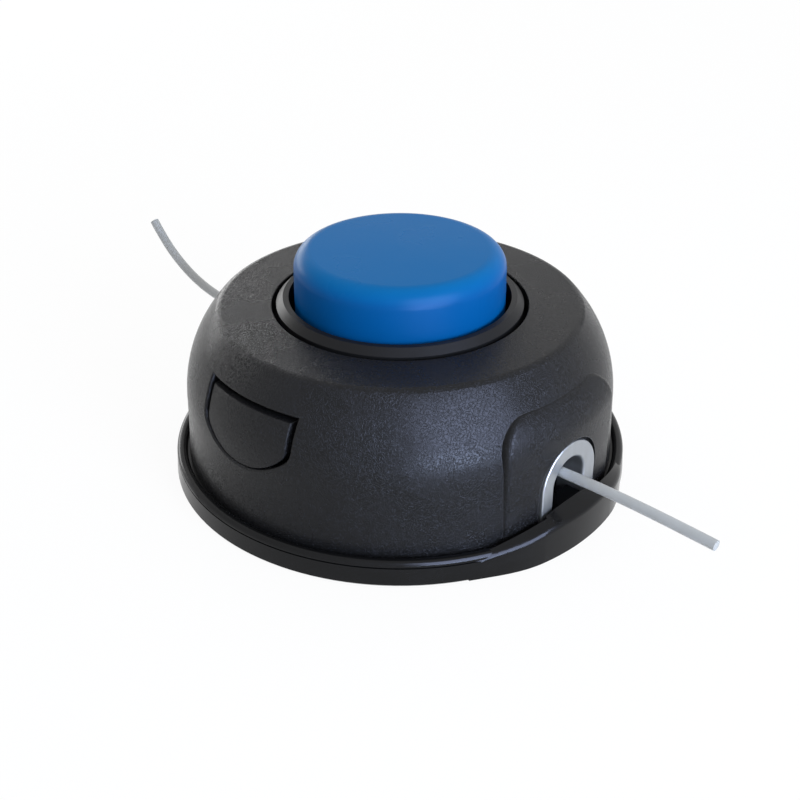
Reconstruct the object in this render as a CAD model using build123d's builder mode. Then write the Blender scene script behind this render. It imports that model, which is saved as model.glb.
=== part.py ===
from build123d import *
from math import hypot, pi, radians, sqrt, tan

# Bump-feed trimmer head, standing knob up on the rim of its drive housing.
# Millimetres; the origin is on the spindle axis at the foot of the rim, +Z up,
# with the line eyelets on the X axis and the release latches on the Y axis.

# Line and spool
line_diameter = 2.4
turns_across = 3
channel_slack = 0.1
flange_thickness = 1.6
spool_radius = 40.0
core_radius = 21.0
winding_depth = 15.0
winding_gap = 0.05
line_notch_width = 3.0
line_notch_depth = 5.0

# Tap feed: the spool is pushed down by the knob and stepped round by lugs and stops
tap_travel = 6.5
lug_gap = 0.4
lug_count = 4
lug_length = 7.0
lug_width = 6.0
lower_stop_height = 3.9
upper_lug_height = 3.3
stop_relief = 0.3
lug_inset = 0.9
upper_stop_turn = 11.8
lower_stop_turn = 56.5
lug_turn = 20.0

# Bump knob and the spool's collar round it
knob_radius = 24.8
knob_height = 19.5
knob_crown = 0.3
knob_round = 4.2
knob_draft = 0.2
knob_wall = 2.4
knob_gap = 1.3
knob_seat_gap = 0.1
collar_wall = 2.95
collar_height = 8.0
collar_bevel = 1.6
spigot_wall = 2.4
spigot_length = 6.2
spigot_gap = 0.2
snap_bead = 0.35
snap_height = 1.2

# Hub post, threaded insert and tap spring
post_radius = 11.5
post_cap = 3.0
post_chamfer = 1.0
post_rise = 2.4
bearing_clearance = 0.06
web_thickness = 3.0
insert_bore_radius = 5.19
insert_radius = 8.0
insert_hex_radius = 9.8
insert_hex_height = 6.0
insert_length = 23.4
insert_clearance = 0.03
bore_relief = 0.6
washer_thickness = 1.2
washer_bore_gap = 0.5
washer_edge_gap = 0.7
washer_seat_gap = 0.05
spring_wire = 1.6
spring_radius = 14.5
spring_turns = 5
spring_cavity_radius = 17.5

# Drive housing
deck_height = 5.0
deck_thickness = 2.6
hub_radius = 17.0
hub_recess = 0.6
rib_count = 8
rib_thickness = 1.6
ring_rib_radius = 34.0
rim_wall = 4.1
rim_flare = 0.3
rim_foot_round = 0.6
rim_step_height = 0.35
rim_step_depth = 0.35
bead_width = 2.55
bead_height = 1.35
bead_crest = 1.15
gutter_gap = 0.5
locating_rib_height = 3.0
locating_rib_wall = 1.8
locating_rib_gap = 0.4
locating_rib_opening = 12.3

# Cover: a straight lower wall, a round shoulder and a flat roof with the knob's mouth
cover_wall = 2.8
roof_thickness = 2.6
roof_round = 2.0
line_space = 8.5
cover_draft = 0.65
shoulder_height = 20.0
shoulder_radius = 31.0
mouth_gap = 1.0
mouth_round = 0.3

# Line eyelets, the bosses round them and the lobes of the rim below them
eyelet_outer_radius = 9.4
eyelet_inner_radius = 5.4
eyelet_height = 14.5
eyelet_flange = 1.5
eyelet_back_flange = 1.3
eyelet_groove = 1.4
eyelet_clearance = 0.05
eyelet_edge_round = 0.7
eyelet_recess_gap = 0.8
eyelet_rim_round = 0.35
eyelet_pad_depth = 6.4
eyelet_sink = 0.4
eyelet_pad_half_width = 11.5
eyelet_pad_top = 25.5
boss_lift = 0.7
boss_half_width = 18.75
boss_top = 34.3
boss_corner = 8.0
boss_face_radius = 58.0
boss_end_round = 9.7
boss_edge_round = 1.5
lobe_lift = 1.45
lobe_half_angle = 12.5
lobe_blend_angle = 31.0
lobe_round = 1.3
lobe_gap = 0.5
lobe_slope = 0.43
lobe_reach = 8.0
lobe_ceiling = 14.0
lobe_top = 10.2
lobe_hump = [(29.5, 0.6), (22.4, 5.2), (14.6, 8.3), (8.8, 9.8)]
tongue_height = 3.6
tongue_gap = 0.2

# Release latches and their windows in the cover
window_half_width = 13.7
window_bottom = 19.7
window_top = 34.2
window_edge_round = 0.6
window_bottom_radius = 19.0
window_corner = 3.5
latch_side_gap = 1.2
latch_top_gap = 1.1
latch_bottom_gap = 0.06
latch_bottom_radius = 16.3
latch_corner = 3.0
latch_inset = 0.25
latch_edge_round = 0.35
latch_face_thickness = 2.4
latch_arm_half_width = 8.0
latch_arm_thickness = 2.4
latch_arm_foot = 7.6
latch_wall_gap = 0.35
latch_lip = 1.3
latch_pocket_gap = 1.5
latch_pocket_rise = 2.3
latch_pivot_height = 9.0
latch_pivot_inset = 1.3
trunnion_radius = 1.5
trunnion_length = 2.4
trunnion_clearance = 0.06
barrel_radius = 1.9
ear_radius = 2.0
ear_thickness = 2.7
ear_gap = 0.3
ear_slot = 2.3

# Share of the shorter run that a bend of the line takes up, and how closely an edge is found by its place
bend_share = 0.45
place_match = 0.05

# Routes of the two line ends, from inside the eyelets outwards
line_route_right = [
    (43.0, -2.65, 17.2),
    (52.0, -2.6, 17.55),
    (61.5, -2.75, 18.05),
    (71.0, -2.92, 18.25),
    (80.5, -3.05, 18.15),
    (90.0, -3.1, 17.85),
]
line_route_left = [
    (-43.0, 2.65, 17.4),
    (-52.5, 2.6, 17.2),
    (-62.5, 2.45, 17.1),
    (-72.5, 2.2, 17.65),
    (-81.5, 2.0, 19.9),
    (-89.3, 1.9, 24.0),
    (-95.0, 1.9, 28.6),
    (-98.9, 2.0, 32.9),
]

# Heights stacked from the deck up
lower_lug_bottom = deck_height + lug_gap + tap_travel
lower_stop_top = deck_height + lower_stop_height
spool_bottom = lower_stop_top + lug_gap + tap_travel
channel_width = turns_across * line_diameter + channel_slack
lower_channel = spool_bottom + flange_thickness
middle_flange = lower_channel + channel_width
upper_channel = middle_flange + flange_thickness
upper_flange = upper_channel + channel_width
spool_top = upper_flange + flange_thickness
upper_lug_top = spool_top + upper_lug_height
roof_inner = upper_lug_top + lug_gap
roof_height = roof_inner + roof_thickness
web_bottom = spool_top - spigot_length - knob_seat_gap - spigot_gap - web_thickness
washer_bottom = web_bottom - washer_seat_gap - washer_thickness
post_top = web_bottom + web_thickness + post_rise
deck_bottom = deck_height - deck_thickness

# Radii stacked from the knob and the spool outwards
collar_inner = knob_radius + knob_gap
collar_radius = collar_inner + collar_wall
mouth_radius = collar_radius + mouth_gap
lug_middle = mouth_radius + lug_inset + lug_length / 2
cover_inner_radius = spool_radius + line_space
cover_radius = cover_inner_radius + cover_wall
cover_foot_radius = cover_radius + cover_draft
gutter_radius = cover_foot_radius + gutter_gap
bead_radius = gutter_radius + bead_width
rim_radius = bead_radius + rim_flare
rim_inner_radius = rim_radius - rim_wall
lobe_radius = bead_radius + lobe_lift
boss_face = cover_radius + boss_lift
eyelet_face = boss_face - eyelet_sink
bead_crest_radius = bead_radius - bead_crest
latch_pocket_radius = cover_radius - latch_lip
latch_half_width = window_half_width - latch_side_gap
arm_corner = latch_pocket_radius - latch_wall_gap
arm_outer = sqrt(arm_corner**2 - latch_arm_half_width**2)
arm_inner = arm_outer - latch_arm_thickness
pivot_offset = arm_inner - latch_pivot_inset + latch_arm_thickness / 2
ear_middle = latch_arm_half_width + ear_gap + ear_thickness / 2
latch_pocket_half_width = ear_middle + ear_thickness / 2 + latch_pocket_gap


def dome_radius(height):
    """Radius of the dome's outer face at a height."""
    if height < shoulder_height:
        return cover_foot_radius - cover_draft * (height - deck_height) / (shoulder_height - deck_height)
    return cover_radius - shoulder_radius + sqrt(shoulder_radius**2 - (height - shoulder_height) ** 2)


def dome_outline(inset, top):
    """Edges of the dome's half section up to `top`, drawn `inset` inside its outer face."""
    foot = cover_foot_radius - inset
    wall = cover_radius - inset
    bend = shoulder_radius - inset
    edge = cover_radius - shoulder_radius + sqrt(bend**2 - (top - shoulder_height) ** 2)
    with BuildLine() as outline:
        Polyline((0, top), (0, deck_height), (foot, deck_height), (wall, shoulder_height))
        RadiusArc((wall, shoulder_height), (edge, top), -bend)
        Line((edge, top), (0, top))
    return outline.edges()


def on_dome(edge, inset):
    """Whether an edge's middle lies on the dome's outer face, drawn `inset` inside it."""
    middle = edge @ 0.5
    if middle.Z > roof_height - roof_round:
        return False
    return abs(hypot(middle.X, middle.Y) + inset - dome_radius(middle.Z)) < place_match


def shield_outline(half_width, bottom, top, bottom_radius):
    """Edges of the latch's shield shape: square at the top and round at the bottom."""
    side = bottom + bottom_radius - sqrt(bottom_radius**2 - half_width**2)
    with BuildLine() as outline:
        Polyline((half_width, side), (half_width, top), (-half_width, top), (-half_width, side))
        ThreePointArc((-half_width, side), (0, bottom), (half_width, side))
    return outline.edges()


def arch_outline(radius, foot):
    """Edges of the eyelet's shape: a half circle on two straight legs that stand on `foot`."""
    with BuildLine() as outline:
        Polyline((radius, eyelet_height), (radius, foot), (-radius, foot), (-radius, eyelet_height))
        ThreePointArc((-radius, eyelet_height), (0, eyelet_height + radius), (radius, eyelet_height))
    return outline.edges()


def eyelet_plane(side, reach):
    """Upright plane across the eyelet on the given side, `reach` from the axis, facing outwards."""
    return Plane((side * reach, 0, 0), x_dir=(0, side, 0), z_dir=(side, 0, 0))


def latch_plane(side, reach):
    """Upright plane across the latch on the given side, `reach` from the axis, facing outwards."""
    return Plane((0, side * reach, 0), x_dir=(-side, 0, 0), z_dir=(0, side, 0))


# Drive housing: rim, ribbed deck, hub post, stops, latch ears and the lobes under the eyelets
with BuildPart() as drive_housing:
    # Raised lobes of the rim, one under each eyelet, which sink into the bead at their ends
    for side in (-1, 1):
        turn = 0 if side > 0 else 180
        with BuildSketch(Plane.XY.rotated((0, 0, turn))):
            with BuildLine():
                crest = CenterArc((0, 0), lobe_radius, -lobe_half_angle, 2 * lobe_half_angle)
                sweep_angle = 2 * lobe_blend_angle
                ends = CenterArc((0, 0), bead_radius, -lobe_blend_angle, sweep_angle, mode=Mode.PRIVATE)
                root = CenterArc((0, 0), cover_radius, -lobe_blend_angle, sweep_angle)
                Spline(crest @ 1, ends @ 1, tangents=(crest % 1, ends % 1))
                Spline(ends @ 0, crest @ 0, tangents=(ends % 0, crest % 0))
                Line(ends @ 1, root @ 1)
                Line(ends @ 0, root @ 0)
            make_face()
        extrude(amount=lobe_ceiling)
        with BuildSketch(eyelet_plane(side, gutter_radius - lobe_reach)):
            with BuildLine():
                lift = lobe_slope * lobe_reach
                rise = [(-across, height + lift) for across, height in lobe_hump]
                fall = [(across, height + lift) for across, height in reversed(lobe_hump)]
                hump = Spline(*rise, (0, lobe_top + lift), *fall)
                Polyline(hump @ 1, (fall[-1][0], 2 * lobe_ceiling), (rise[0][0], 2 * lobe_ceiling), hump @ 0)
            make_face()
        extrude(amount=2 * lobe_reach, dir=(side, 0, -lobe_slope), mode=Mode.SUBTRACT)
    crest_edges = drive_housing.edges().filter_by(
        lambda e: hypot((e @ 0.5).X, (e @ 0.5).Y) > bead_radius and (e @ 0.5).Z > bead_height
        and abs((e % 0.5).Z) < sqrt(0.5)
    )
    fillet(crest_edges, radius=lobe_round)
    # Gutter between the lobes and the cover, closed only in front of the eyelets
    with BuildSketch(Plane.XY):
        Circle(bead_crest_radius)
        Rectangle(2 * rim_radius, 2 * eyelet_outer_radius, mode=Mode.SUBTRACT)
        Rectangle(2 * (boss_face + lobe_gap), 2 * eyelet_outer_radius)
    extrude(amount=lobe_ceiling, mode=Mode.SUBTRACT)
    # Rim with its step and bead, and the deck
    with BuildSketch(Plane.XZ):
        with BuildLine():
            Polyline(
                (gutter_radius, deck_height),
                (0, deck_height),
                (0, deck_bottom),
                (rim_inner_radius, deck_bottom),
                (rim_inner_radius, 0),
                (rim_radius - rim_foot_round, 0),
                (rim_radius, rim_foot_round),
                (bead_radius, deck_height - rim_step_height),
                (bead_radius - rim_step_depth, deck_height - rim_step_height),
                (bead_radius - rim_step_depth, deck_height),
                (bead_radius, deck_height),
            )
            ThreePointArc(
                (bead_radius, deck_height),
                (bead_crest_radius, deck_height + bead_height),
                (gutter_radius, deck_height),
            )
        make_face()
    revolve(axis=Axis.Z)
    # Room for the foot of the cover
    with BuildSketch(Plane.XY.offset(deck_height)):
        Circle(gutter_radius)
    extrude(amount=lobe_ceiling, mode=Mode.SUBTRACT)
    # Hub post on the deck, hub boss and ribs under it
    with BuildSketch(Plane.XZ):
        with BuildLine():
            Polyline(
                (0, hub_recess),
                (hub_radius, hub_recess),
                (hub_radius, deck_height),
                (post_radius, deck_height),
                (post_radius, post_top - post_chamfer),
                (post_radius - post_chamfer, post_top),
                (0, post_top),
                close=True,
            )
        make_face()
    revolve(axis=Axis.Z)
    with BuildSketch(Plane.XY.offset(hub_recess)):
        Circle(ring_rib_radius + rib_thickness / 2)
        Circle(ring_rib_radius - rib_thickness / 2, mode=Mode.SUBTRACT)
        with PolarLocations((hub_radius + rim_inner_radius) / 2, rib_count, start_angle=180 / rib_count):
            Rectangle(rim_inner_radius - hub_radius + rib_thickness, rib_thickness)
    extrude(amount=deck_bottom - hub_recess)
    # Seat of the threaded insert
    with BuildSketch(Plane.XY.offset(hub_recess)):
        RegularPolygon(insert_hex_radius + insert_clearance, 6)
    extrude(amount=insert_hex_height + insert_clearance, mode=Mode.SUBTRACT)
    with BuildSketch(Plane.XY.offset(hub_recess)):
        Circle(insert_radius + insert_clearance)
    extrude(amount=insert_length, mode=Mode.SUBTRACT)
    with BuildSketch(Plane.XY.offset(hub_recess)):
        Circle(insert_bore_radius + bore_relief)
    extrude(amount=post_top - post_cap - hub_recess, mode=Mode.SUBTRACT)
    # Lower stops, which catch the spool while the knob is pushed in
    with BuildSketch(Plane.XY.offset(deck_height)):
        with PolarLocations(lug_middle, lug_count, start_angle=lug_turn + lower_stop_turn):
            Rectangle(lug_length, lug_width)
    extrude(amount=lower_stop_height)
    # Locating ribs inside the cover's foot, open at the eyelets and the latches
    with BuildSketch(Plane.XY.offset(deck_height)):
        Circle(cover_foot_radius - cover_wall - locating_rib_gap)
        Circle(cover_foot_radius - cover_wall - locating_rib_gap - locating_rib_wall, mode=Mode.SUBTRACT)
        Rectangle(2 * rim_radius, 2 * locating_rib_opening, mode=Mode.SUBTRACT)
        Rectangle(2 * latch_pocket_half_width, 2 * rim_radius, mode=Mode.SUBTRACT)
    extrude(amount=locating_rib_height)
    # Tongues that close the eyelets from below
    tongue_inner = eyelet_face - eyelet_flange - eyelet_groove - eyelet_back_flange
    for side in (-1, 1):
        with BuildSketch(eyelet_plane(side, tongue_inner)):
            with Locations((0, deck_height)):
                Rectangle(
                    2 * (eyelet_inner_radius - tongue_gap), tongue_height, align=(Align.CENTER, Align.MIN)
                )
        extrude(amount=boss_face + lobe_gap - tongue_inner)
    # Ears with snap-in slots, which carry the latches' trunnions
    for side in (-1, 1):
        for end in (-1, 1):
            ear = Plane((end * ear_middle, side * pivot_offset, 0), x_dir=(0, 1, 0), z_dir=(1, 0, 0))
            with BuildSketch(ear):
                with Locations((0, deck_height)):
                    ear_height = latch_pivot_height - deck_height
                    Rectangle(2 * ear_radius, ear_height, align=(Align.CENTER, Align.MIN))
                with Locations((0, latch_pivot_height)):
                    Circle(ear_radius)
            extrude(amount=ear_thickness / 2, both=True)
            with BuildSketch(ear):
                with Locations((0, latch_pivot_height)):
                    Circle(trunnion_radius + trunnion_clearance)
                    Rectangle(ear_slot, 2 * ear_radius, align=(Align.CENTER, Align.MIN))
            extrude(amount=ear_thickness / 2, both=True, mode=Mode.SUBTRACT)
drive_housing.part.label = "drive_housing"
export_step(drive_housing.part, "parts/drive_housing.step")

# Threaded insert: a steel sleeve with a hexagon foot, moulded into the hub post
with BuildPart() as arbor_insert:
    with BuildSketch(Plane.XY.offset(hub_recess)):
        RegularPolygon(insert_hex_radius, 6)
    extrude(amount=insert_hex_height)
    with BuildSketch(Plane.XY.offset(hub_recess)):
        Circle(insert_radius)
    extrude(amount=insert_length - insert_clearance)
    with BuildSketch(Plane.XY.offset(hub_recess)):
        Circle(insert_bore_radius)
    extrude(amount=insert_length, mode=Mode.SUBTRACT)
arbor_insert.part.label = "arbor_insert"
export_step(arbor_insert.part, "parts/arbor_insert.step")

# Cover: moulded dome with eyelet bosses, latch windows and the upper stops under its roof
with BuildPart() as cover:
    # Bosses for the eyelets: pads with a curved face, rounded over at the top, that fade into the dome
    with BuildSketch(Plane.YZ) as boss_outline:
        with Locations((0, deck_height)):
            Rectangle(2 * boss_half_width, boss_top - deck_height, align=(Align.CENTER, Align.MIN))
        fillet(boss_outline.vertices().group_by(Axis.Y)[-1], radius=boss_corner)
    extrude(amount=boss_face, both=True)
    bend_height = boss_top - boss_corner
    for side in (-1, 1):
        face_axis = Axis((side * (boss_face - boss_face_radius), 0, 0), (0, 0, 1))
        with BuildSketch(Plane.XZ) as boss_profile:
            with Locations((face_axis.position.X, deck_height)):
                profile_height = bend_height + boss_end_round - deck_height
                Rectangle(boss_face_radius, profile_height, align=(Align.MIN, Align.MIN))
            fillet(boss_profile.vertices().group_by(Axis.Y)[-1].sort_by(Axis.X)[-1], radius=boss_end_round)
        revolve(axis=face_axis, mode=Mode.INTERSECT)
    boss_edges = cover.edges().filter_by(
        lambda e: abs((e @ 0.5).X) > boss_face / 2
        and (e @ 0.5).Z > deck_height + place_match
        and abs((e @ 0.5).Z - bend_height) > place_match
    )
    fillet(boss_edges, radius=boss_edge_round)
    with BuildSketch(Plane.XZ) as dome:
        make_face(dome_outline(0, roof_height))
        fillet(dome.vertices().sort_by(Axis.Y)[-2:].sort_by(Axis.X)[-1], radius=roof_round)
    revolve(axis=Axis.Z)
    with BuildSketch(Plane.XZ):
        make_face(dome_outline(cover_wall, roof_inner))
    revolve(axis=Axis.Z, mode=Mode.SUBTRACT)
    # Flat pads inside the wall, which the eyelets grip
    for side in (-1, 1):
        with BuildSketch(eyelet_plane(side, eyelet_face - eyelet_pad_depth)):
            with Locations((0, deck_height)):
                Rectangle(
                    2 * eyelet_pad_half_width, eyelet_pad_top - deck_height, align=(Align.CENTER, Align.MIN)
                )
        extrude(amount=eyelet_pad_depth - eyelet_flange)
    with BuildSketch(Plane.XY.offset(roof_inner)):
        Circle(mouth_radius)
    extrude(amount=roof_thickness * 2, mode=Mode.SUBTRACT)
    fillet(cover.edges(Select.LAST).group_by(Axis.Z)[-1], radius=mouth_round)
    # Eyelet notches, open at the foot, with a shallow recess round each eyelet's face
    for side in (-1, 1):
        with BuildSketch(eyelet_plane(side, eyelet_face - 2 * eyelet_pad_depth)):
            make_face(arch_outline(eyelet_outer_radius - eyelet_groove + 2 * eyelet_clearance, deck_height))
        extrude(amount=3 * eyelet_pad_depth, mode=Mode.SUBTRACT)
        with BuildSketch(eyelet_plane(side, eyelet_face - eyelet_flange - eyelet_clearance)):
            make_face(arch_outline(eyelet_outer_radius + eyelet_recess_gap, deck_height))
        extrude(amount=eyelet_pad_depth, mode=Mode.SUBTRACT)
    # Pockets for the latch arms, which leave a thin sill under each window
    with BuildSketch(Plane.XY.offset(deck_height)):
        Circle(latch_pocket_radius)
        Rectangle(2 * latch_pocket_half_width, 2 * rim_radius, mode=Mode.INTERSECT)
    extrude(amount=window_bottom + latch_pocket_rise - deck_height, mode=Mode.SUBTRACT)
    for side in (-1, 1):
        with BuildSketch(latch_plane(side, spool_radius)) as window:
            make_face(shield_outline(window_half_width, window_bottom, window_top, window_bottom_radius))
            fillet(window.vertices().group_by(Axis.Y)[0], radius=window_corner)
        extrude(amount=rim_radius - spool_radius, mode=Mode.SUBTRACT)
        window_edges = cover.edges(Select.LAST).filter_by(lambda e: on_dome(e, 0))
        fillet(window_edges, radius=window_edge_round)
    # Upper stops, which hold the spool while the knob is out
    with BuildSketch(Plane.XY.offset(spool_top + stop_relief)):
        with PolarLocations(lug_middle, lug_count, start_angle=lug_turn + upper_stop_turn):
            Rectangle(lug_length, lug_width)
    extrude(amount=roof_inner - spool_top - stop_relief)
cover.part.label = "cover"
export_step(cover.part, "parts/cover.step")

# Line eyelets: grooved metal arches that slide up into the cover's notches
for name, side in (("eyelet_right", 1), ("eyelet_left", -1)):
    back = eyelet_face - eyelet_pad_depth - eyelet_clearance - eyelet_back_flange
    web_radius = eyelet_outer_radius - eyelet_groove
    with BuildPart() as eyelet:
        with BuildSketch(eyelet_plane(side, back)):
            make_face(arch_outline(eyelet_outer_radius, deck_height + eyelet_clearance))
        extrude(amount=eyelet_back_flange)
        with BuildSketch(eyelet_plane(side, back)):
            make_face(arch_outline(web_radius, deck_height + eyelet_clearance))
        extrude(amount=eyelet_face - back)
        with BuildSketch(eyelet_plane(side, eyelet_face - eyelet_flange)):
            make_face(arch_outline(eyelet_outer_radius, deck_height + eyelet_clearance))
        extrude(amount=eyelet_flange)
        with BuildSketch(eyelet_plane(side, back)):
            make_face(arch_outline(eyelet_inner_radius, deck_height))
        extrude(amount=eyelet_face - back, mode=Mode.SUBTRACT)
        upper_edges = eyelet.edges().filter_by(lambda e: (e @ 0.5).Z > deck_height + eyelet_flange)
        face_edges = upper_edges.filter_by(lambda e: abs(abs((e @ 0.5).X) - eyelet_face) < place_match)
        back_edges = upper_edges.filter_by(lambda e: abs(abs((e @ 0.5).X) - back) < place_match)
        within = eyelet_height + (eyelet_inner_radius + eyelet_outer_radius) / 2
        inner_edges = (face_edges + back_edges).filter_by(
            lambda e: abs((e @ 0.5).Y) < eyelet_inner_radius + place_match and (e @ 0.5).Z < within
        )
        outer_edges = face_edges.filter_by(
            lambda e: abs((e @ 0.5).Y) > eyelet_inner_radius + place_match or (e @ 0.5).Z > within
        )
        fillet(inner_edges, radius=eyelet_edge_round)
        fillet(outer_edges, radius=eyelet_rim_round)
    eyelet.part.label = name
    export_step(eyelet.part, f"parts/{name}.step")

# Release latches: levers that turn on trunnions at the foot, with a shield-shaped push face in the window
for name, side in (("latch_front", -1), ("latch_rear", 1)):
    latch_bottom = window_bottom + latch_bottom_gap
    latch_top = window_top - latch_top_gap
    with BuildPart() as latch:
        with BuildSketch(latch_plane(side, spool_radius)) as shield:
            make_face(shield_outline(latch_half_width, latch_bottom, latch_top, latch_bottom_radius))
            fillet(shield.vertices().group_by(Axis.Y)[0], radius=latch_corner)
        extrude(amount=rim_radius - spool_radius)
        with BuildSketch(Plane.XZ):
            make_face(dome_outline(latch_inset, roof_height - latch_inset))
        revolve(axis=Axis.Z, mode=Mode.INTERSECT)
        with BuildSketch(Plane.XZ):
            make_face(dome_outline(latch_inset + latch_face_thickness, roof_height - latch_inset))
        revolve(axis=Axis.Z, mode=Mode.SUBTRACT)
        fillet(latch.edges().filter_by(lambda e: on_dome(e, latch_inset)), radius=latch_edge_round)
        with BuildSketch(latch_plane(side, arm_inner)):
            with Locations((0, latch_arm_foot)):
                Rectangle(
                    2 * latch_arm_half_width,
                    window_bottom + latch_bottom_radius / 2 - latch_arm_foot,
                    align=(Align.CENTER, Align.MIN),
                )
        extrude(amount=latch_arm_thickness)
        pivot = Plane((0, side * pivot_offset, latch_pivot_height), x_dir=(0, 1, 0), z_dir=(1, 0, 0))
        with BuildSketch(pivot):
            Circle(barrel_radius)
        extrude(amount=latch_arm_half_width, both=True)
        with BuildSketch(pivot):
            Circle(trunnion_radius)
        extrude(amount=latch_arm_half_width + ear_gap + trunnion_length, both=True)
    latch.part.label = name
    export_step(latch.part, f"parts/{name}.step")

# Spool: two line channels, a bearing on the hub post, lugs on both ends and a bevelled collar round the knob
with BuildPart() as spool:
    groove_middle = spool_top - spigot_length + snap_height
    with BuildSketch(Plane.XZ):
        with BuildLine():
            Polyline(
                (spring_cavity_radius, spool_bottom),
                (spool_radius, spool_bottom),
                (spool_radius, lower_channel),
                (core_radius, lower_channel),
                (core_radius, middle_flange),
                (spool_radius, middle_flange),
                (spool_radius, upper_channel),
                (core_radius, upper_channel),
                (core_radius, upper_flange),
                (spool_radius, upper_flange),
                (spool_radius, spool_top),
                (collar_radius, spool_top),
                (collar_radius, spool_top + collar_height - collar_bevel),
                (collar_radius - collar_bevel, spool_top + collar_height),
                (collar_inner, spool_top + collar_height),
                (collar_inner, spool_top),
                (spring_cavity_radius, spool_top),
                (spring_cavity_radius, groove_middle + snap_height),
                (spring_cavity_radius + snap_bead + spigot_gap, groove_middle),
                (spring_cavity_radius, groove_middle - snap_height),
                (spring_cavity_radius, web_bottom + web_thickness),
                (post_radius + bearing_clearance, web_bottom + web_thickness),
                (post_radius + bearing_clearance, web_bottom),
                (spring_cavity_radius, web_bottom),
                close=True,
            )
        make_face()
    revolve(axis=Axis.Z)
    with BuildSketch(Plane.XY.offset(lower_lug_bottom)):
        with PolarLocations(lug_middle, lug_count, start_angle=lug_turn):
            Rectangle(lug_length, lug_width)
    extrude(amount=spool_bottom - lower_lug_bottom)
    with BuildSketch(Plane.XY.offset(spool_top)):
        with PolarLocations(lug_middle, lug_count, start_angle=lug_turn):
            Rectangle(lug_length, lug_width)
    extrude(amount=upper_lug_height)
    # Notches in the flanges, which hold the line ends while the spool is wound
    with BuildSketch(Plane.XY.offset(spool_bottom)):
        with PolarLocations(spool_radius - line_notch_depth / 2, 2, start_angle=90):
            SlotOverall(2 * line_notch_depth, line_notch_width)
    extrude(amount=flange_thickness, mode=Mode.SUBTRACT)
    with BuildSketch(Plane.XY.offset(upper_flange)):
        with PolarLocations(spool_radius - line_notch_depth / 2, 2, start_angle=90):
            SlotOverall(2 * line_notch_depth, line_notch_width)
    extrude(amount=flange_thickness, mode=Mode.SUBTRACT)
spool.part.label = "spool"
export_step(spool.part, "parts/spool.step")

# Wound line: one ring of turns in each channel of the spool
for name, floor in (("line_winding_lower", lower_channel), ("line_winding_upper", upper_channel)):
    outer = core_radius + winding_depth
    turn_low = floor + channel_slack / 2
    with BuildPart() as winding:
        with BuildSketch(Plane.XZ):
            with BuildLine():
                Polyline(
                    (outer, turn_low),
                    (core_radius + winding_gap, turn_low),
                    (core_radius + winding_gap, turn_low + turns_across * line_diameter),
                    (outer, turn_low + turns_across * line_diameter),
                )
                for turn in range(turns_across):
                    start = turn_low + turn * line_diameter
                    ThreePointArc(
                        (outer, start),
                        (outer + line_diameter / 2, start + line_diameter / 2),
                        (outer, start + line_diameter),
                    )
            make_face()
        revolve(axis=Axis.Z)
    winding.part.label = name
    export_step(winding.part, f"parts/{name}.step")

# Bump knob: a crowned cap with a snap-in spigot
with BuildPart() as bump_knob:
    knob_foot = spool_top + knob_seat_gap
    knob_top = knob_foot + knob_height
    spigot_radius = spring_cavity_radius - spigot_gap
    spigot_foot = spool_top - spigot_length
    bead_height_on_spigot = spigot_foot + snap_height
    with BuildSketch(Plane.XZ) as knob_section:
        with BuildLine():
            Polyline(
                (0, knob_top),
                (0, knob_foot),
                (knob_radius, knob_foot),
                (knob_radius - knob_draft, knob_top - knob_crown),
            )
            crown_bend = ((knob_radius - knob_draft) ** 2 + knob_crown**2) / (2 * knob_crown)
            RadiusArc((knob_radius - knob_draft, knob_top - knob_crown), (0, knob_top), -crown_bend)
        make_face()
        rim_corner = knob_section.vertices().sort_by(Axis.X)[-2:].sort_by(Axis.Y)[-1]
        fillet(rim_corner, radius=knob_round)
        with BuildLine():
            Polyline(
                (spigot_radius - spigot_wall, knob_foot + spigot_wall),
                (spigot_radius - spigot_wall, spigot_foot),
                (spigot_radius - snap_bead, spigot_foot),
                (spigot_radius + snap_bead, bead_height_on_spigot),
                (spigot_radius, bead_height_on_spigot + snap_bead),
                (spigot_radius, knob_foot + spigot_wall),
                close=True,
            )
        make_face()
        with BuildLine():
            Polyline(
                (0, knob_foot),
                (spigot_radius - spigot_wall, knob_foot),
                (spigot_radius - spigot_wall, knob_top - knob_crown - knob_wall),
                (0, knob_top - knob_crown - knob_wall),
                close=True,
            )
        make_face(mode=Mode.SUBTRACT)
        with BuildLine():
            Polyline(
                (spigot_radius, knob_foot),
                (knob_radius - knob_wall, knob_foot),
                (knob_radius - knob_wall, knob_top - knob_round - knob_wall),
                (knob_radius - knob_wall - knob_round / 2, knob_top - knob_crown - knob_wall),
                (spigot_radius, knob_top - knob_crown - knob_wall),
                close=True,
            )
        make_face(mode=Mode.SUBTRACT)
    revolve(axis=Axis.Z)
bump_knob.part.label = "bump_knob"
export_step(bump_knob.part, "parts/bump_knob.step")

# Thrust washer between the spring and the turning spool
with BuildPart() as thrust_washer:
    with BuildSketch(Plane.XY.offset(washer_bottom)):
        Circle(spring_cavity_radius - washer_edge_gap)
        Circle(post_radius + washer_bore_gap, mode=Mode.SUBTRACT)
    extrude(amount=washer_thickness)
thrust_washer.part.label = "thrust_washer"
export_step(thrust_washer.part, "parts/thrust_washer.step")

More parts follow.
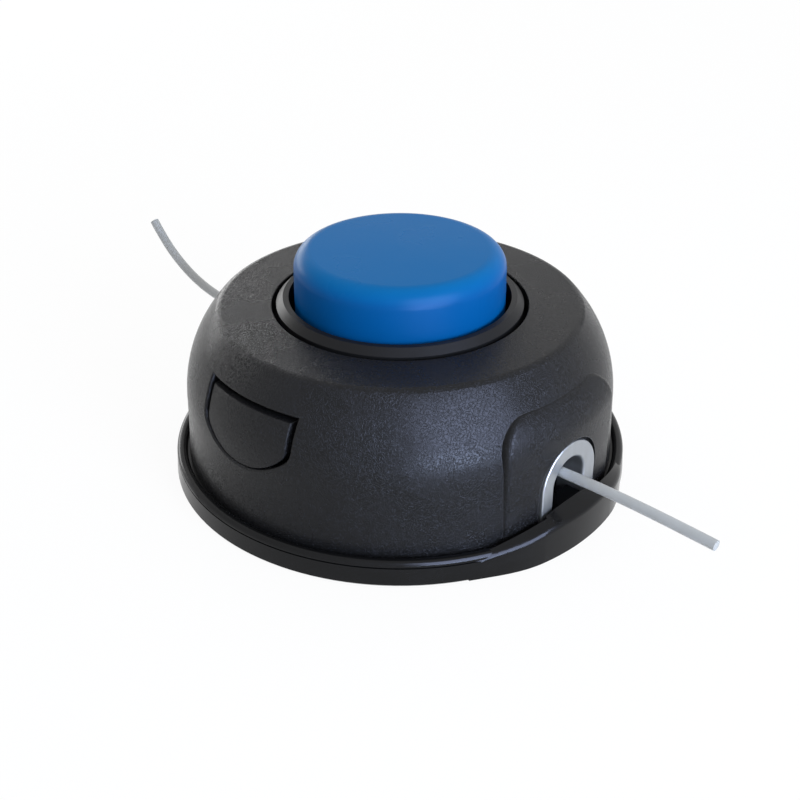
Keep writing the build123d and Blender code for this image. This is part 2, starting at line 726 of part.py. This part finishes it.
# Tap spring: a round-wire coil with ground ends, standing on the deck round the hub post
with BuildPart() as tap_spring:
    spring_foot = deck_height + washer_seat_gap
    spring_height = washer_bottom - washer_seat_gap - spring_foot
    with BuildLine() as coil:
        Helix(spring_height / spring_turns, spring_height, spring_radius, center=(0, 0, spring_foot))
    with BuildSketch(Plane(coil.line @ 0, z_dir=coil.line % 0)):
        Circle(spring_wire / 2)
    sweep(is_frenet=True)
    with BuildSketch(Plane.XY.offset(spring_foot)):
        Circle(spring_cavity_radius)
    extrude(amount=spring_height, mode=Mode.INTERSECT)
tap_spring.part.label = "tap_spring"
export_step(tap_spring.part, "parts/tap_spring.step")

# Cutting line: the two free ends, each a round cord of straight runs and tangent arcs
for name, route in (("cutting_line_right", line_route_right), ("cutting_line_left", line_route_left)):
    points = [Vector(point) for point in route]
    bends = []
    for before, corner, after in zip(points, points[1:], points[2:]):
        turn = (corner - before).get_angle(after - corner)
        shorter = min((corner - before).length, (after - corner).length)
        bends.append(bend_share * shorter / tan(radians(turn / 2)))
    with BuildPart() as cutting_line:
        with BuildLine() as path:
            FilletPolyline(*points, radius=bends)
        with BuildSketch(Plane(path.line @ 0, z_dir=path.line % 0)):
            Circle(line_diameter / 2)
        sweep()
    length = path.wires()[0].length
    volume = cutting_line.part.volume
    section_volume = pi * line_diameter**2 / 4 * length
    print(name, "length", round(length, 2), "radii", [round(bend, 1) for bend in bends])
    print(name, "volume", round(volume, 2), "section times length", round(section_volume, 2))
    cutting_line.part.label = name
    export_step(cutting_line.part, f"parts/{name}.step")
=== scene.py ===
import math

import bmesh
import bpy
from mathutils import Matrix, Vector


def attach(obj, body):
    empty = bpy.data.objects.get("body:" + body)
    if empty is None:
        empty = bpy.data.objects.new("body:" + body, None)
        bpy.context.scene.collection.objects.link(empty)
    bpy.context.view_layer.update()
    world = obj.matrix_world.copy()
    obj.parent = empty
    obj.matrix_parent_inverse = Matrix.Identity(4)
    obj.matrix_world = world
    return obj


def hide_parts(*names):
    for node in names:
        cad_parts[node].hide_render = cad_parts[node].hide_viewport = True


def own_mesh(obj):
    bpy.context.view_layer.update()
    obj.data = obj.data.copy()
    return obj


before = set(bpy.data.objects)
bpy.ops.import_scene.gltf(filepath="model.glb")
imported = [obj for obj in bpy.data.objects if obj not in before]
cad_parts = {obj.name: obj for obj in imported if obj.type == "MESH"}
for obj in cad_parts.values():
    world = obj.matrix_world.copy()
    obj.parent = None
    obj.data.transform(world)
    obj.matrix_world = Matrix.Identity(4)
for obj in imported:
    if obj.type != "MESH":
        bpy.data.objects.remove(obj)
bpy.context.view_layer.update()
scene = bpy.context.scene

# Drive housing: one glossy black moulding, held on the machine's spindle by the insert in its hub.
# Its rim carries a polished bead, which rises into a lobe under each line eyelet.
def finish_tree(name):
    """A new material's node tree, its shader and the object's own coordinates."""
    material = bpy.data.materials.new(name)
    material.use_nodes = True
    nodes = material.node_tree.nodes
    shader = nodes["Principled BSDF"]
    place = nodes.new("ShaderNodeTexCoord")
    return material, nodes, material.node_tree.links, shader, place


def grain(nodes, links, place, scale, detail, stretch=(1, 1, 1), turn=(0, 0, 0)):
    """Noise laid over the piece in its own coordinates, stretched and turned for streaks."""
    mapping = nodes.new("ShaderNodeMapping")
    mapping.inputs["Scale"].default_value = stretch
    mapping.inputs["Rotation"].default_value = turn
    links.new(place.outputs["Object"], mapping.inputs["Vector"])
    noise = nodes.new("ShaderNodeTexNoise")
    noise.inputs["Scale"].default_value = scale
    noise.inputs["Detail"].default_value = detail
    links.new(mapping.outputs["Vector"], noise.inputs["Vector"])
    return noise


def spread(nodes, links, value, low, high, start=0.3, stop=0.7):
    """A 0-to-1 value drawn out between two levels."""
    level = nodes.new("ShaderNodeMapRange")
    level.inputs["From Min"].default_value = start
    level.inputs["From Max"].default_value = stop
    level.inputs["To Min"].default_value = low
    level.inputs["To Max"].default_value = high
    links.new(value, level.inputs["Value"])
    return level.outputs["Result"]


def two_tone(nodes, links, value, dark, light):
    """A colour between two tones, by a 0-to-1 value."""
    tones = nodes.new("ShaderNodeMix")
    tones.data_type = "RGBA"
    tones.inputs["A"].default_value = (*dark, 1)
    tones.inputs["B"].default_value = (*light, 1)
    links.new(value, tones.inputs["Factor"])
    return tones.outputs["Result"]


def relief(nodes, links, height, depth, strength, below=None):
    """A bump of the given depth in metres, laid over an earlier one."""
    bump = nodes.new("ShaderNodeBump")
    bump.inputs["Distance"].default_value = depth
    bump.inputs["Strength"].default_value = strength
    links.new(height, bump.inputs["Height"])
    if below is not None:
        links.new(below, bump.inputs["Normal"])
    return bump.outputs["Normal"]


def dress(node, material):
    """The CAD piece takes a material."""
    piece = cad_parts[node]
    piece.data.materials.clear()
    piece.data.materials.append(material)
    return piece


gloss_black, nodes, links, shader, place = finish_tree("gloss_black")
flow = grain(nodes, links, place, 90, 3, stretch=(1, 1, 2.5))
speckle = grain(nodes, links, place, 1400, 2)
moulding = two_tone(nodes, links, flow.outputs["Fac"], (0.0035, 0.0035, 0.0038), (0.0065, 0.0065, 0.007))
links.new(moulding, shader.inputs["Base Color"])
shader.inputs["Specular IOR Level"].default_value = 0.17
links.new(spread(nodes, links, flow.outputs["Fac"], 0.15, 0.27), shader.inputs["Roughness"])
links.new(relief(nodes, links, speckle.outputs["Fac"], 0.00003, 0.3), shader.inputs["Normal"])
dress("drive_housing", gloss_black)

# Arbor insert: turned steel sleeve with a hexagon foot, moulded into the hub.
# The machine's spindle screws into its left-hand thread, M12 x 1.5.
turned_steel, nodes, links, shader, place = finish_tree("turned_steel")
shader.inputs["Metallic"].default_value = 1.0
rings = grain(nodes, links, place, 300, 2, stretch=(0.2, 0.2, 12))
steel = two_tone(nodes, links, rings.outputs["Fac"], (0.36, 0.36, 0.37), (0.62, 0.62, 0.63))
links.new(steel, shader.inputs["Base Color"])
links.new(spread(nodes, links, rings.outputs["Fac"], 0.24, 0.42), shader.inputs["Roughness"])

around = 96
insert_low, insert_high = 0.0006, 0.02397
hex_top, hex_corner, sleeve_radius = 0.0066, 0.0098, 0.0080
thread_minor, thread_depth, thread_pitch = 0.00519, 0.00078, 0.0015
mouth_depth, mouth_clearance = 0.0007, 0.0003
thread_steps = 160
crease_angle = math.radians(35)


def insert_ring(height, radius_at):
    """One ring of points round the axis, whose radius follows the angle."""
    ring = []
    for step in range(around):
        angle = 2 * math.pi * step / around
        radius = radius_at(angle)
        ring.append((radius * math.cos(angle), radius * math.sin(angle), height))
    return ring


def hexagon(angle):
    """Radius of the hexagon foot at an angle."""
    return hex_corner * math.cos(math.pi / 6) / math.cos(angle % (math.pi / 3) - math.pi / 6)


def thread_radius(height, angle):
    """Radius of the thread's flank, which runs out in a countersink at both mouths."""
    along = (height / thread_pitch + angle / (2 * math.pi)) % 1
    flank = thread_minor + thread_depth * (1 - abs(2 * along - 1))
    mouth = max(0, 1 - min(height - insert_low, insert_high - height) / mouth_depth)
    return max(flank, thread_minor + mouth * (thread_depth + mouth_clearance))


insert_rings = [
    insert_ring(insert_low, hexagon),
    insert_ring(hex_top, hexagon),
    insert_ring(hex_top, lambda angle: sleeve_radius),
    insert_ring(insert_high, lambda angle: sleeve_radius),
]
for step in range(thread_steps, -1, -1):
    height = insert_low + (insert_high - insert_low) * step / thread_steps
    insert_rings.append(insert_ring(height, lambda angle: thread_radius(height, angle)))
insert_mesh = bmesh.new()
laid = [[insert_mesh.verts.new(point) for point in ring] for ring in insert_rings]
for lower, upper in zip(laid, laid[1:] + laid[:1]):
    for step in range(around):
        follow = (step + 1) % around
        insert_mesh.faces.new((lower[step], lower[follow], upper[follow], upper[step]))
bmesh.ops.recalc_face_normals(insert_mesh, faces=insert_mesh.faces)
for face in insert_mesh.faces:
    face.smooth = True
for edge in insert_mesh.edges:
    edge.smooth = edge.calc_face_angle(0) < crease_angle
threaded = bpy.data.objects.new("threaded_insert", bpy.data.meshes.new("threaded_insert"))
insert_mesh.to_mesh(threaded.data)
insert_mesh.free()
scene.collection.objects.link(threaded)
threaded.data.materials.append(turned_steel)
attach(threaded, "housing")
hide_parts("arbor_insert")

# Tap spring: a round-wire coil of drawn steel with ground ends, standing on the deck round the hub post.
# It pushes the spool up and is squeezed when the knob is tapped on the ground.
drawn_steel, nodes, links, shader, place = finish_tree("drawn_steel")
shader.inputs["Metallic"].default_value = 1.0
draw_marks = grain(nodes, links, place, 500, 3, stretch=(1, 1, 0.2))
steel = two_tone(nodes, links, draw_marks.outputs["Fac"], (0.38, 0.38, 0.39), (0.58, 0.58, 0.59))
links.new(steel, shader.inputs["Base Color"])
links.new(spread(nodes, links, draw_marks.outputs["Fac"], 0.2, 0.36), shader.inputs["Roughness"])


def shape_tree(name, sizes):
    """A Geometry Nodes tree with named inputs for its sizes and its finish."""
    tree = bpy.data.node_groups.new(name, "GeometryNodeTree")
    tree.interface.new_socket("Geometry", in_out="OUTPUT", socket_type="NodeSocketGeometry")
    for label in sizes:
        tree.interface.new_socket(label, in_out="INPUT", socket_type="NodeSocketFloat")
    tree.interface.new_socket("Finish", in_out="INPUT", socket_type="NodeSocketMaterial")
    return tree, tree.nodes.new("NodeGroupInput"), tree.nodes.new("NodeGroupOutput")


def calc(tree, operation, *values):
    """A Math node on sockets or plain numbers."""
    node = tree.nodes.new("ShaderNodeMath")
    node.operation = operation
    for socket, value in zip(node.inputs, values):
        if isinstance(value, (int, float)):
            socket.default_value = value
        else:
            tree.links.new(value, socket)
    return node.outputs["Value"]


def wire_on(tree, path, thickness, sides, finish, output, clamp=None):
    """A round wire along a path, ground flat at the two heights that `clamp` may give."""
    section = tree.nodes.new("GeometryNodeCurvePrimitiveCircle")
    section.inputs["Resolution"].default_value = sides
    tree.links.new(thickness, section.inputs["Radius"])
    swept = tree.nodes.new("GeometryNodeCurveToMesh")
    swept.inputs["Fill Caps"].default_value = True
    tree.links.new(path, swept.inputs["Curve"])
    tree.links.new(section.outputs["Curve"], swept.inputs["Profile Curve"])
    shape = swept.outputs["Mesh"]
    if clamp is not None:
        at = tree.nodes.new("GeometryNodeInputPosition")
        parts = tree.nodes.new("ShaderNodeSeparateXYZ")
        tree.links.new(at.outputs["Position"], parts.inputs["Vector"])
        ground = calc(tree, "MINIMUM", calc(tree, "MAXIMUM", parts.outputs["Z"], clamp[0]), clamp[1])
        whole = tree.nodes.new("ShaderNodeCombineXYZ")
        tree.links.new(parts.outputs["X"], whole.inputs["X"])
        tree.links.new(parts.outputs["Y"], whole.inputs["Y"])
        tree.links.new(ground, whole.inputs["Z"])
        settle = tree.nodes.new("GeometryNodeSetPosition")
        tree.links.new(shape, settle.inputs["Geometry"])
        tree.links.new(whole.outputs["Vector"], settle.inputs["Position"])
        shape = settle.outputs["Geometry"]
    real = tree.nodes.new("GeometryNodeRealizeInstances")
    tree.links.new(shape, real.inputs["Geometry"])
    painted = tree.nodes.new("GeometryNodeSetMaterial")
    tree.links.new(real.outputs["Geometry"], painted.inputs["Geometry"])
    tree.links.new(finish, painted.inputs["Material"])
    tree.links.new(painted.outputs["Geometry"], output.inputs["Geometry"])


def made_from(name, tree, sizes, finish):
    """A plain mesh object made by a tree from the given sizes."""
    maker = bpy.data.objects.new(name + "_maker", bpy.data.meshes.new(name + "_maker"))
    scene.collection.objects.link(maker)
    modifier = maker.modifiers.new("shape", "NODES")
    modifier.node_group = tree
    for socket in tree.interface.items_tree:
        if socket.in_out == "INPUT":
            modifier[socket.identifier] = finish if socket.name == "Finish" else sizes[socket.name]
    ready = maker.evaluated_get(bpy.context.evaluated_depsgraph_get())
    mesh = bpy.data.meshes.new_from_object(ready)
    bpy.data.objects.remove(maker)
    mesh.name = name
    for face in mesh.polygons:
        face.use_smooth = len(face.vertices) == 4
    piece = bpy.data.objects.new(name, mesh)
    scene.collection.objects.link(piece)
    return piece


spring_sizes = {
    "Turns": 5.0, "Coil Radius": 0.0145, "Wire Radius": 0.0008, "Foot": 0.00505, "Height": 0.01935,
}
coil_steps, wire_sides = 48, 16
spring_tree, given, output = shape_tree("coiled_wire", spring_sizes)
spiral = spring_tree.nodes.new("GeometryNodeCurveSpiral")
spiral.inputs["Resolution"].default_value = coil_steps
spiral_sizes = {
    "Rotations": "Turns", "Start Radius": "Coil Radius", "End Radius": "Coil Radius", "Height": "Height",
}
for label, size in spiral_sizes.items():
    spring_tree.links.new(given.outputs[size], spiral.inputs[label])
stand = spring_tree.nodes.new("GeometryNodeSetPosition")
lift = spring_tree.nodes.new("ShaderNodeCombineXYZ")
spring_tree.links.new(given.outputs["Foot"], lift.inputs["Z"])
spring_tree.links.new(spiral.outputs["Curve"], stand.inputs["Geometry"])
spring_tree.links.new(lift.outputs["Vector"], stand.inputs["Offset"])
spring_top = calc(spring_tree, "ADD", given.outputs["Foot"], given.outputs["Height"])
wire_on(
    spring_tree, stand.outputs["Geometry"], given.outputs["Wire Radius"], wire_sides,
    given.outputs["Finish"], output, clamp=(given.outputs["Foot"], spring_top),
)
spring = made_from("tap_spring_coil", spring_tree, spring_sizes, drawn_steel)
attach(spring, "housing")
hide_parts("tap_spring")
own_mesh(spring)

# Thrust washer: a flat ring punched from the same drawn steel.
# It lies loose between the spring and the spool, so that the spool can turn on it.
dress("thrust_washer", drawn_steel)

# Spool: satin black moulding with two line channels, which turns and slides on the hub post.
# Its bevelled collar shows round the knob.
satin_black, nodes, links, shader, place = finish_tree("satin_black")
cloud = grain(nodes, links, place, 60, 4)
speckle = grain(nodes, links, place, 1800, 2)
moulding = two_tone(nodes, links, cloud.outputs["Fac"], (0.007, 0.007, 0.0075), (0.012, 0.012, 0.013))
links.new(moulding, shader.inputs["Base Color"])
shader.inputs["Specular IOR Level"].default_value = 0.14
links.new(spread(nodes, links, cloud.outputs["Fac"], 0.30, 0.42), shader.inputs["Roughness"])
links.new(relief(nodes, links, speckle.outputs["Fac"], 0.00004, 0.4), shader.inputs["Normal"])
dress("spool", satin_black)

# Wound line: 2.4 mm grey nylon, wound turn by turn in the spool's two channels.
# The layers go up and down the channel by turns, and the line crosses over once a turn.
grey_nylon, nodes, links, shader, place = finish_tree("grey_nylon")
shader.inputs["IOR"].default_value = 1.53
shader.inputs["Subsurface Weight"].default_value = 0.35
shader.inputs["Subsurface Radius"].default_value = (0.0012, 0.0012, 0.0011)
haze = grain(nodes, links, place, 140, 3)
nylon = two_tone(nodes, links, haze.outputs["Fac"], (0.35, 0.36, 0.36), (0.44, 0.45, 0.46))
links.new(nylon, shader.inputs["Base Color"])
links.new(spread(nodes, links, haze.outputs["Fac"], 0.26, 0.4), shader.inputs["Roughness"])

channel_heights = {"line_winding_lower": 0.01865, "line_winding_upper": 0.02755}
wound_sizes = {
    "Turns": 21.0, "Turns Across": 3.0, "Line Radius": 0.0012, "First Radius": 0.02225,
    "Layer Pitch": 0.00229, "First Height": 0.0, "Turn Pitch": 0.0024,
}
steps_round, line_sides = 64, 10
crossing_start = 0.8
wound_tree, given, output = shape_tree("level_wound_line", wound_sizes)
marks = wound_tree.nodes.new("GeometryNodeMeshLine")
mark_count = calc(wound_tree, "MULTIPLY_ADD", given.outputs["Turns"], steps_round, 1)
wound_tree.links.new(mark_count, marks.inputs["Count"])
strand = wound_tree.nodes.new("GeometryNodeMeshToCurve")
wound_tree.links.new(marks.outputs["Mesh"], strand.inputs["Mesh"])
number = wound_tree.nodes.new("GeometryNodeInputIndex")
turn = calc(wound_tree, "DIVIDE", number.outputs["Index"], steps_round)
whole_turn = calc(wound_tree, "FLOOR", turn)
crossing = wound_tree.nodes.new("ShaderNodeMapRange")
crossing.interpolation_type = "SMOOTHSTEP"
crossing.inputs["From Min"].default_value = crossing_start
wound_tree.links.new(calc(wound_tree, "FRACT", turn), crossing.inputs["Value"])


def laid_at(turn_number):
    """Radius and height of one whole turn: layers go up and down the channel by turns."""
    across, pitch = given.outputs["Turns Across"], given.outputs["Layer Pitch"]
    layer = calc(wound_tree, "FLOOR", calc(wound_tree, "DIVIDE", turn_number, across))
    lane = calc(wound_tree, "MODULO", turn_number, across)
    last = calc(wound_tree, "SUBTRACT", across, 1)
    back = calc(wound_tree, "MODULO", layer, 2)
    turned = calc(wound_tree, "MULTIPLY", back, calc(wound_tree, "MULTIPLY_ADD", lane, -2, last))
    lane = calc(wound_tree, "ADD", lane, turned)
    radius = calc(wound_tree, "MULTIPLY_ADD", layer, pitch, given.outputs["First Radius"])
    rise = given.outputs["Turn Pitch"]
    return radius, calc(wound_tree, "MULTIPLY_ADD", lane, rise, given.outputs["First Height"])


def crossed(start, stop):
    """A value that passes from one turn's to the next one's where the line crosses over."""
    step = calc(wound_tree, "SUBTRACT", stop, start)
    return calc(wound_tree, "MULTIPLY_ADD", crossing.outputs["Result"], step, start)


this_turn = laid_at(whole_turn)
next_turn = laid_at(calc(wound_tree, "ADD", whole_turn, 1))
wound_radius = crossed(this_turn[0], next_turn[0])
angle = calc(wound_tree, "MULTIPLY", turn, 2 * math.pi)
laid_point = wound_tree.nodes.new("ShaderNodeCombineXYZ")
for axis, operation in (("X", "COSINE"), ("Y", "SINE")):
    part = calc(wound_tree, "MULTIPLY", wound_radius, calc(wound_tree, operation, angle))
    wound_tree.links.new(part, laid_point.inputs[axis])
wound_tree.links.new(crossed(this_turn[1], next_turn[1]), laid_point.inputs["Z"])
wind = wound_tree.nodes.new("GeometryNodeSetPosition")
wound_tree.links.new(strand.outputs["Curve"], wind.inputs["Geometry"])
wound_tree.links.new(laid_point.outputs["Vector"], wind.inputs["Position"])
wire_on(
    wound_tree, wind.outputs["Geometry"], given.outputs["Line Radius"], line_sides,
    given.outputs["Finish"], output,
)
for node, channel_height in channel_heights.items():
    wound_sizes["First Height"] = channel_height
    wound = made_from(node + "_turns", wound_tree, wound_sizes, grey_nylon)
    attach(wound, "spool")
    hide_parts(node)

# Bump knob: satin blue moulded cap, snapped onto the spool, that is tapped on the ground to feed line.
# Its top is painted a little lighter and greener, a painted sheen from the light above.
# Heights over which the painted sheen on the knob's top comes in.
sheen_start, sheen_stop = 0.0512, 0.0542
satin_blue, nodes, links, shader, place = finish_tree("satin_blue")
cloud = grain(nodes, links, place, 45, 4)
speckle = grain(nodes, links, place, 1500, 2)
side_blue = two_tone(nodes, links, cloud.outputs["Fac"], (0.0002, 0.080, 0.270), (0.0005, 0.090, 0.305))
height = nodes.new("ShaderNodeSeparateXYZ")
links.new(place.outputs["Object"], height.inputs["Vector"])
top_sheen_mask = spread(nodes, links, height.outputs["Z"], 0, 1, start=sheen_start, stop=sheen_stop)
# The lighter, greener blue of the painted top sheen, mixed in by height.
sheen_top_blue = nodes.new("ShaderNodeMix")
sheen_top_blue.data_type = "RGBA"
sheen_top_blue.inputs["B"].default_value = (0.0012, 0.118, 0.330, 1)
links.new(top_sheen_mask, sheen_top_blue.inputs["Factor"])
links.new(side_blue, sheen_top_blue.inputs["A"])
links.new(sheen_top_blue.outputs["Result"], shader.inputs["Base Color"])
shader.inputs["Specular IOR Level"].default_value = 0.05
links.new(spread(nodes, links, cloud.outputs["Fac"], 0.24, 0.36), shader.inputs["Roughness"])
links.new(relief(nodes, links, speckle.outputs["Fac"], 0.00003, 0.3), shader.inputs["Normal"])
dress("bump_knob", satin_blue)

# Cover: domed black moulding with a fine spark-eroded grain, which sparkles in the light,
# and a boss round each eyelet. The latches hold it down on the housing.
def hair_lines(nodes, links, place, scale, width, turn=(0, 0, 0)):
    """Fine curling lines, as spark erosion leaves in the mould: where a noise is near its middle."""
    noise = grain(nodes, links, place, scale, 1, turn=turn)
    middle = nodes.new("ShaderNodeMath")
    middle.operation = "SUBTRACT"
    middle.inputs[1].default_value = 0.5
    links.new(noise.outputs["Fac"], middle.inputs[0])
    away = nodes.new("ShaderNodeMath")
    away.operation = "ABSOLUTE"
    links.new(middle.outputs["Value"], away.inputs[0])
    return spread(nodes, links, away.outputs["Value"], 1, 0, start=0, stop=width)


def painted_edge_highlight(nodes, links, tone, highlight_tone, reach):
    """The tone, painted lighter along the piece's outer and inner edges: a painted edge highlight."""
    rounded = nodes.new("ShaderNodeBevel")
    rounded.samples = 6
    rounded.inputs["Radius"].default_value = reach
    surface = nodes.new("ShaderNodeNewGeometry")
    agree = nodes.new("ShaderNodeVectorMath")
    agree.operation = "DOT_PRODUCT"
    links.new(rounded.outputs["Normal"], agree.inputs[0])
    links.new(surface.outputs["Normal"], agree.inputs[1])
    edge = spread(nodes, links, agree.outputs["Value"], 1, 0, start=0.75, stop=0.98)
    tones = nodes.new("ShaderNodeMix")
    tones.data_type = "RGBA"
    tones.inputs["B"].default_value = (*highlight_tone, 1)
    links.new(edge, tones.inputs["Factor"])
    links.new(tone, tones.inputs["A"])
    return tones.outputs["Result"]


grained_black, nodes, links, shader, place = finish_tree("grained_black")
cloud = grain(nodes, links, place, 70, 4)
fine = grain(nodes, links, place, 2200, 2)
shell = two_tone(nodes, links, cloud.outputs["Fac"], (0.0072, 0.0072, 0.0079), (0.0115, 0.0115, 0.0125))
# The edges of the cover and the latches get a painted highlight, a lighter tone along each edge.
links.new(painted_edge_highlight(nodes, links, shell, (0.060, 0.060, 0.063), 0.0004), shader.inputs["Base Color"])
shader.inputs["Specular IOR Level"].default_value = 0.145
links.new(spread(nodes, links, cloud.outputs["Fac"], 0.23, 0.31), shader.inputs["Roughness"])
coarse_lines = hair_lines(nodes, links, place, 1250, 0.04)
fine_lines = hair_lines(nodes, links, place, 1700, 0.04, turn=(0.7, 0.4, 0.9))
under = relief(nodes, links, coarse_lines, 0.00005, 0.7)
under = relief(nodes, links, fine_lines, 0.00004, 0.7, under)
links.new(relief(nodes, links, fine.outputs["Fac"], 0.00004, 0.4, under), shader.inputs["Normal"])
dress("cover", grained_black)

# Line eyelets: cast and polished metal arches that slide up into the cover's notches.
# They keep the running line from cutting into the plastic.
polished_metal, nodes, links, shader, place = finish_tree("polished_metal")
shader.inputs["Metallic"].default_value = 0.75
brush = grain(nodes, links, place, 900, 3, stretch=(1, 1, 0.15))
metal = two_tone(nodes, links, brush.outputs["Fac"], (0.28, 0.29, 0.295), (0.36, 0.37, 0.375))
links.new(metal, shader.inputs["Base Color"])
links.new(spread(nodes, links, brush.outputs["Fac"], 0.30, 0.42), shader.inputs["Roughness"])
dress("eyelet_right", polished_metal)
dress("eyelet_left", polished_metal)

# Release latches: levers of the cover's plastic, hinged on the housing's deck.
# Their push faces are pressed in by hand to free the cover.
dress("latch_front", grained_black)
dress("latch_rear", grained_black)

# Cutting line: the two free ends of 2.4 mm nylon, cut off square with cutters,
# straight out of their eyelets and a little curled from the reel.
line_thickness = 0.0024
line_ends = {
    "cutting_line_right": (0.04703, [
        (0.0430, -0.00265, 0.01720), (0.0520, -0.00260, 0.01755), (0.0615, -0.00275, 0.01805),
        (0.0710, -0.00292, 0.01825), (0.0805, -0.00305, 0.01815), (0.0900, -0.00310, 0.01785),
    ]),
    "cutting_line_left": (0.06065, [
        (-0.0430, 0.00265, 0.01740), (-0.0525, 0.00260, 0.01720), (-0.0625, 0.00245, 0.01710),
        (-0.0725, 0.00220, 0.01765), (-0.0815, 0.00200, 0.01990), (-0.0893, 0.00190, 0.02400),
        (-0.0950, 0.00190, 0.02860), (-0.0989, 0.00200, 0.03290),
    ]),
}
for node, (length, route) in line_ends.items():
    curve = bpy.data.curves.new(node + "_free", "CURVE")
    curve.dimensions = "3D"
    curve.bevel_depth = line_thickness / 2
    curve.bevel_resolution = 6
    curve.resolution_u = 16
    curve.use_fill_caps = True
    spline = curve.splines.new("NURBS")
    spline.points.add(len(route) - 1)
    for point, at in zip(spline.points, route):
        point.co = (*at, 1)
    spline.order_u = 3
    spline.use_endpoint_u = True
    free_end = bpy.data.objects.new(node + "_free", curve)
    scene.collection.objects.link(free_end)
    curve.materials.append(grey_nylon)
    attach(free_end, "housing")
    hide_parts(node)

# Studio: a pale floor, a white backdrop, soft lamps and the camera at the photograph's angle.
# A window stands on the right. Its sheen and its bounce off the table light reflections only,
# and the window and overhead boxes light surfaces only.
floor_reach, floor_height = 4.0, -0.0001
floor_white, room_light = 0.93, 0.5
floor_corners = [(floor_reach * x, floor_reach * y, 0) for x, y in ((-1, -1), (1, -1), (1, 1), (-1, 1))]
floor_mesh = bpy.data.meshes.new("studio_floor")
floor_mesh.from_pydata(floor_corners, [], [(0, 1, 2, 3)])
floor = bpy.data.objects.new("studio_floor", floor_mesh)
floor.location.z = floor_height
scene.collection.objects.link(floor)
pale_floor = bpy.data.materials.new("pale_floor")
pale_floor.use_nodes = True
nodes, links = pale_floor.node_tree.nodes, pale_floor.node_tree.links
shader = nodes["Principled BSDF"]
shader.inputs["Base Color"].default_value = (0.9, 0.9, 0.9, 1)
shader.inputs["Roughness"].default_value = 0.9
white = nodes.new("ShaderNodeEmission")
white.inputs["Strength"].default_value = 1.0


def mirror_share(nodes, links, share):
    """The share of white that the camera, reflections and clear pieces see."""
    seen = nodes.new("ShaderNodeLightPath")
    mirrored = nodes.new("ShaderNodeMath")
    mirrored.operation = "MAXIMUM"
    links.new(seen.outputs["Is Glossy Ray"], mirrored.inputs[0])
    links.new(seen.outputs["Is Transmission Ray"], mirrored.inputs[1])
    either = nodes.new("ShaderNodeMath")
    either.operation = "MAXIMUM"
    links.new(seen.outputs["Is Camera Ray"], either.inputs[0])
    links.new(mirrored.outputs["Value"], either.inputs[1])
    level = nodes.new("ShaderNodeMath")
    level.operation = "MULTIPLY"
    level.inputs[1].default_value = share
    links.new(either.outputs["Value"], level.inputs[0])
    return level.outputs["Value"]


both = nodes.new("ShaderNodeMixShader")
links.new(mirror_share(nodes, links, floor_white), both.inputs["Fac"])
links.new(shader.outputs["BSDF"], both.inputs[1])
links.new(white.outputs["Emission"], both.inputs[2])
links.new(both.outputs["Shader"], nodes["Material Output"].inputs["Surface"])
pale_floor.cycles.emission_sampling = "NONE"
floor_mesh.materials.append(pale_floor)

world = bpy.data.worlds.new("studio_world")
world.use_nodes = True
scene.world = world
nodes, links = world.node_tree.nodes, world.node_tree.links
room = nodes["Background"]
room.inputs["Color"].default_value = (1, 1, 1, 1)
room.inputs["Strength"].default_value = room_light
backdrop = nodes.new("ShaderNodeBackground")
backdrop.inputs["Color"].default_value = (1, 1, 1, 1)
backdrop.inputs["Strength"].default_value = 1.0
both = nodes.new("ShaderNodeMixShader")
links.new(mirror_share(nodes, links, 1.0), both.inputs["Fac"])
links.new(room.outputs["Background"], both.inputs[1])
links.new(backdrop.outputs["Background"], both.inputs[2])
links.new(both.outputs["Shader"], nodes["World Output"].inputs["Surface"])


def soft_lamp(name, at, towards, size, watts, tint):
    """A soft box at one point, turned towards another."""
    light = bpy.data.lights.new(name, "AREA")
    light.shape = "RECTANGLE"
    light.size, light.size_y = size
    light.energy = watts
    light.color = tint
    lamp = bpy.data.objects.new(name, light)
    lamp.location = at
    lamp.rotation_euler = (Vector(towards) - Vector(at)).to_track_quat("-Z", "Y").to_euler()
    scene.collection.objects.link(lamp)
    return lamp


middle = (0, 0, 0.03)
white_light = (1, 1, 1)
overhead = soft_lamp("top_box", (-0.2, 0.3, 1.1), middle, (1.7, 1.7), 6.5, white_light)
overhead.visible_glossy = False
soft_lamp("rim_box", (-0.9, 0.2, 0.14), middle, (0.7, 0.28), 2.4, white_light)
window = soft_lamp("window_box", (0.83, -0.13, 0.3), middle, (0.35, 0.35), 8, (0.70, 0.82, 1))
window.visible_glossy = False
sheen = soft_lamp("window_sheen", (0.83, -0.18, 0.38), middle, (0.8, 0.8), 31, (0.56, 0.66, 1))
sheen.visible_diffuse = False
bounce = soft_lamp(
    "window_bounce", (0.25, -0.10, 0.003), (0.15, -0.06, 1), (0.2, 0.36), 9, (0.55, 0.68, 1),
)
bounce.visible_diffuse = False

camera_drop, camera_turn = math.radians(30.41), math.radians(43.4)
lens = bpy.data.cameras.new("camera")
lens.sensor_width = 36
lens.lens = 55.6
camera = bpy.data.objects.new("camera", lens)
camera.location = (0.1803, -0.1907, 0.16806)
camera.rotation_euler = (math.pi / 2 - camera_drop, 0, camera_turn)
scene.collection.objects.link(camera)
scene.camera = camera
scene.view_settings.view_transform = "Standard"
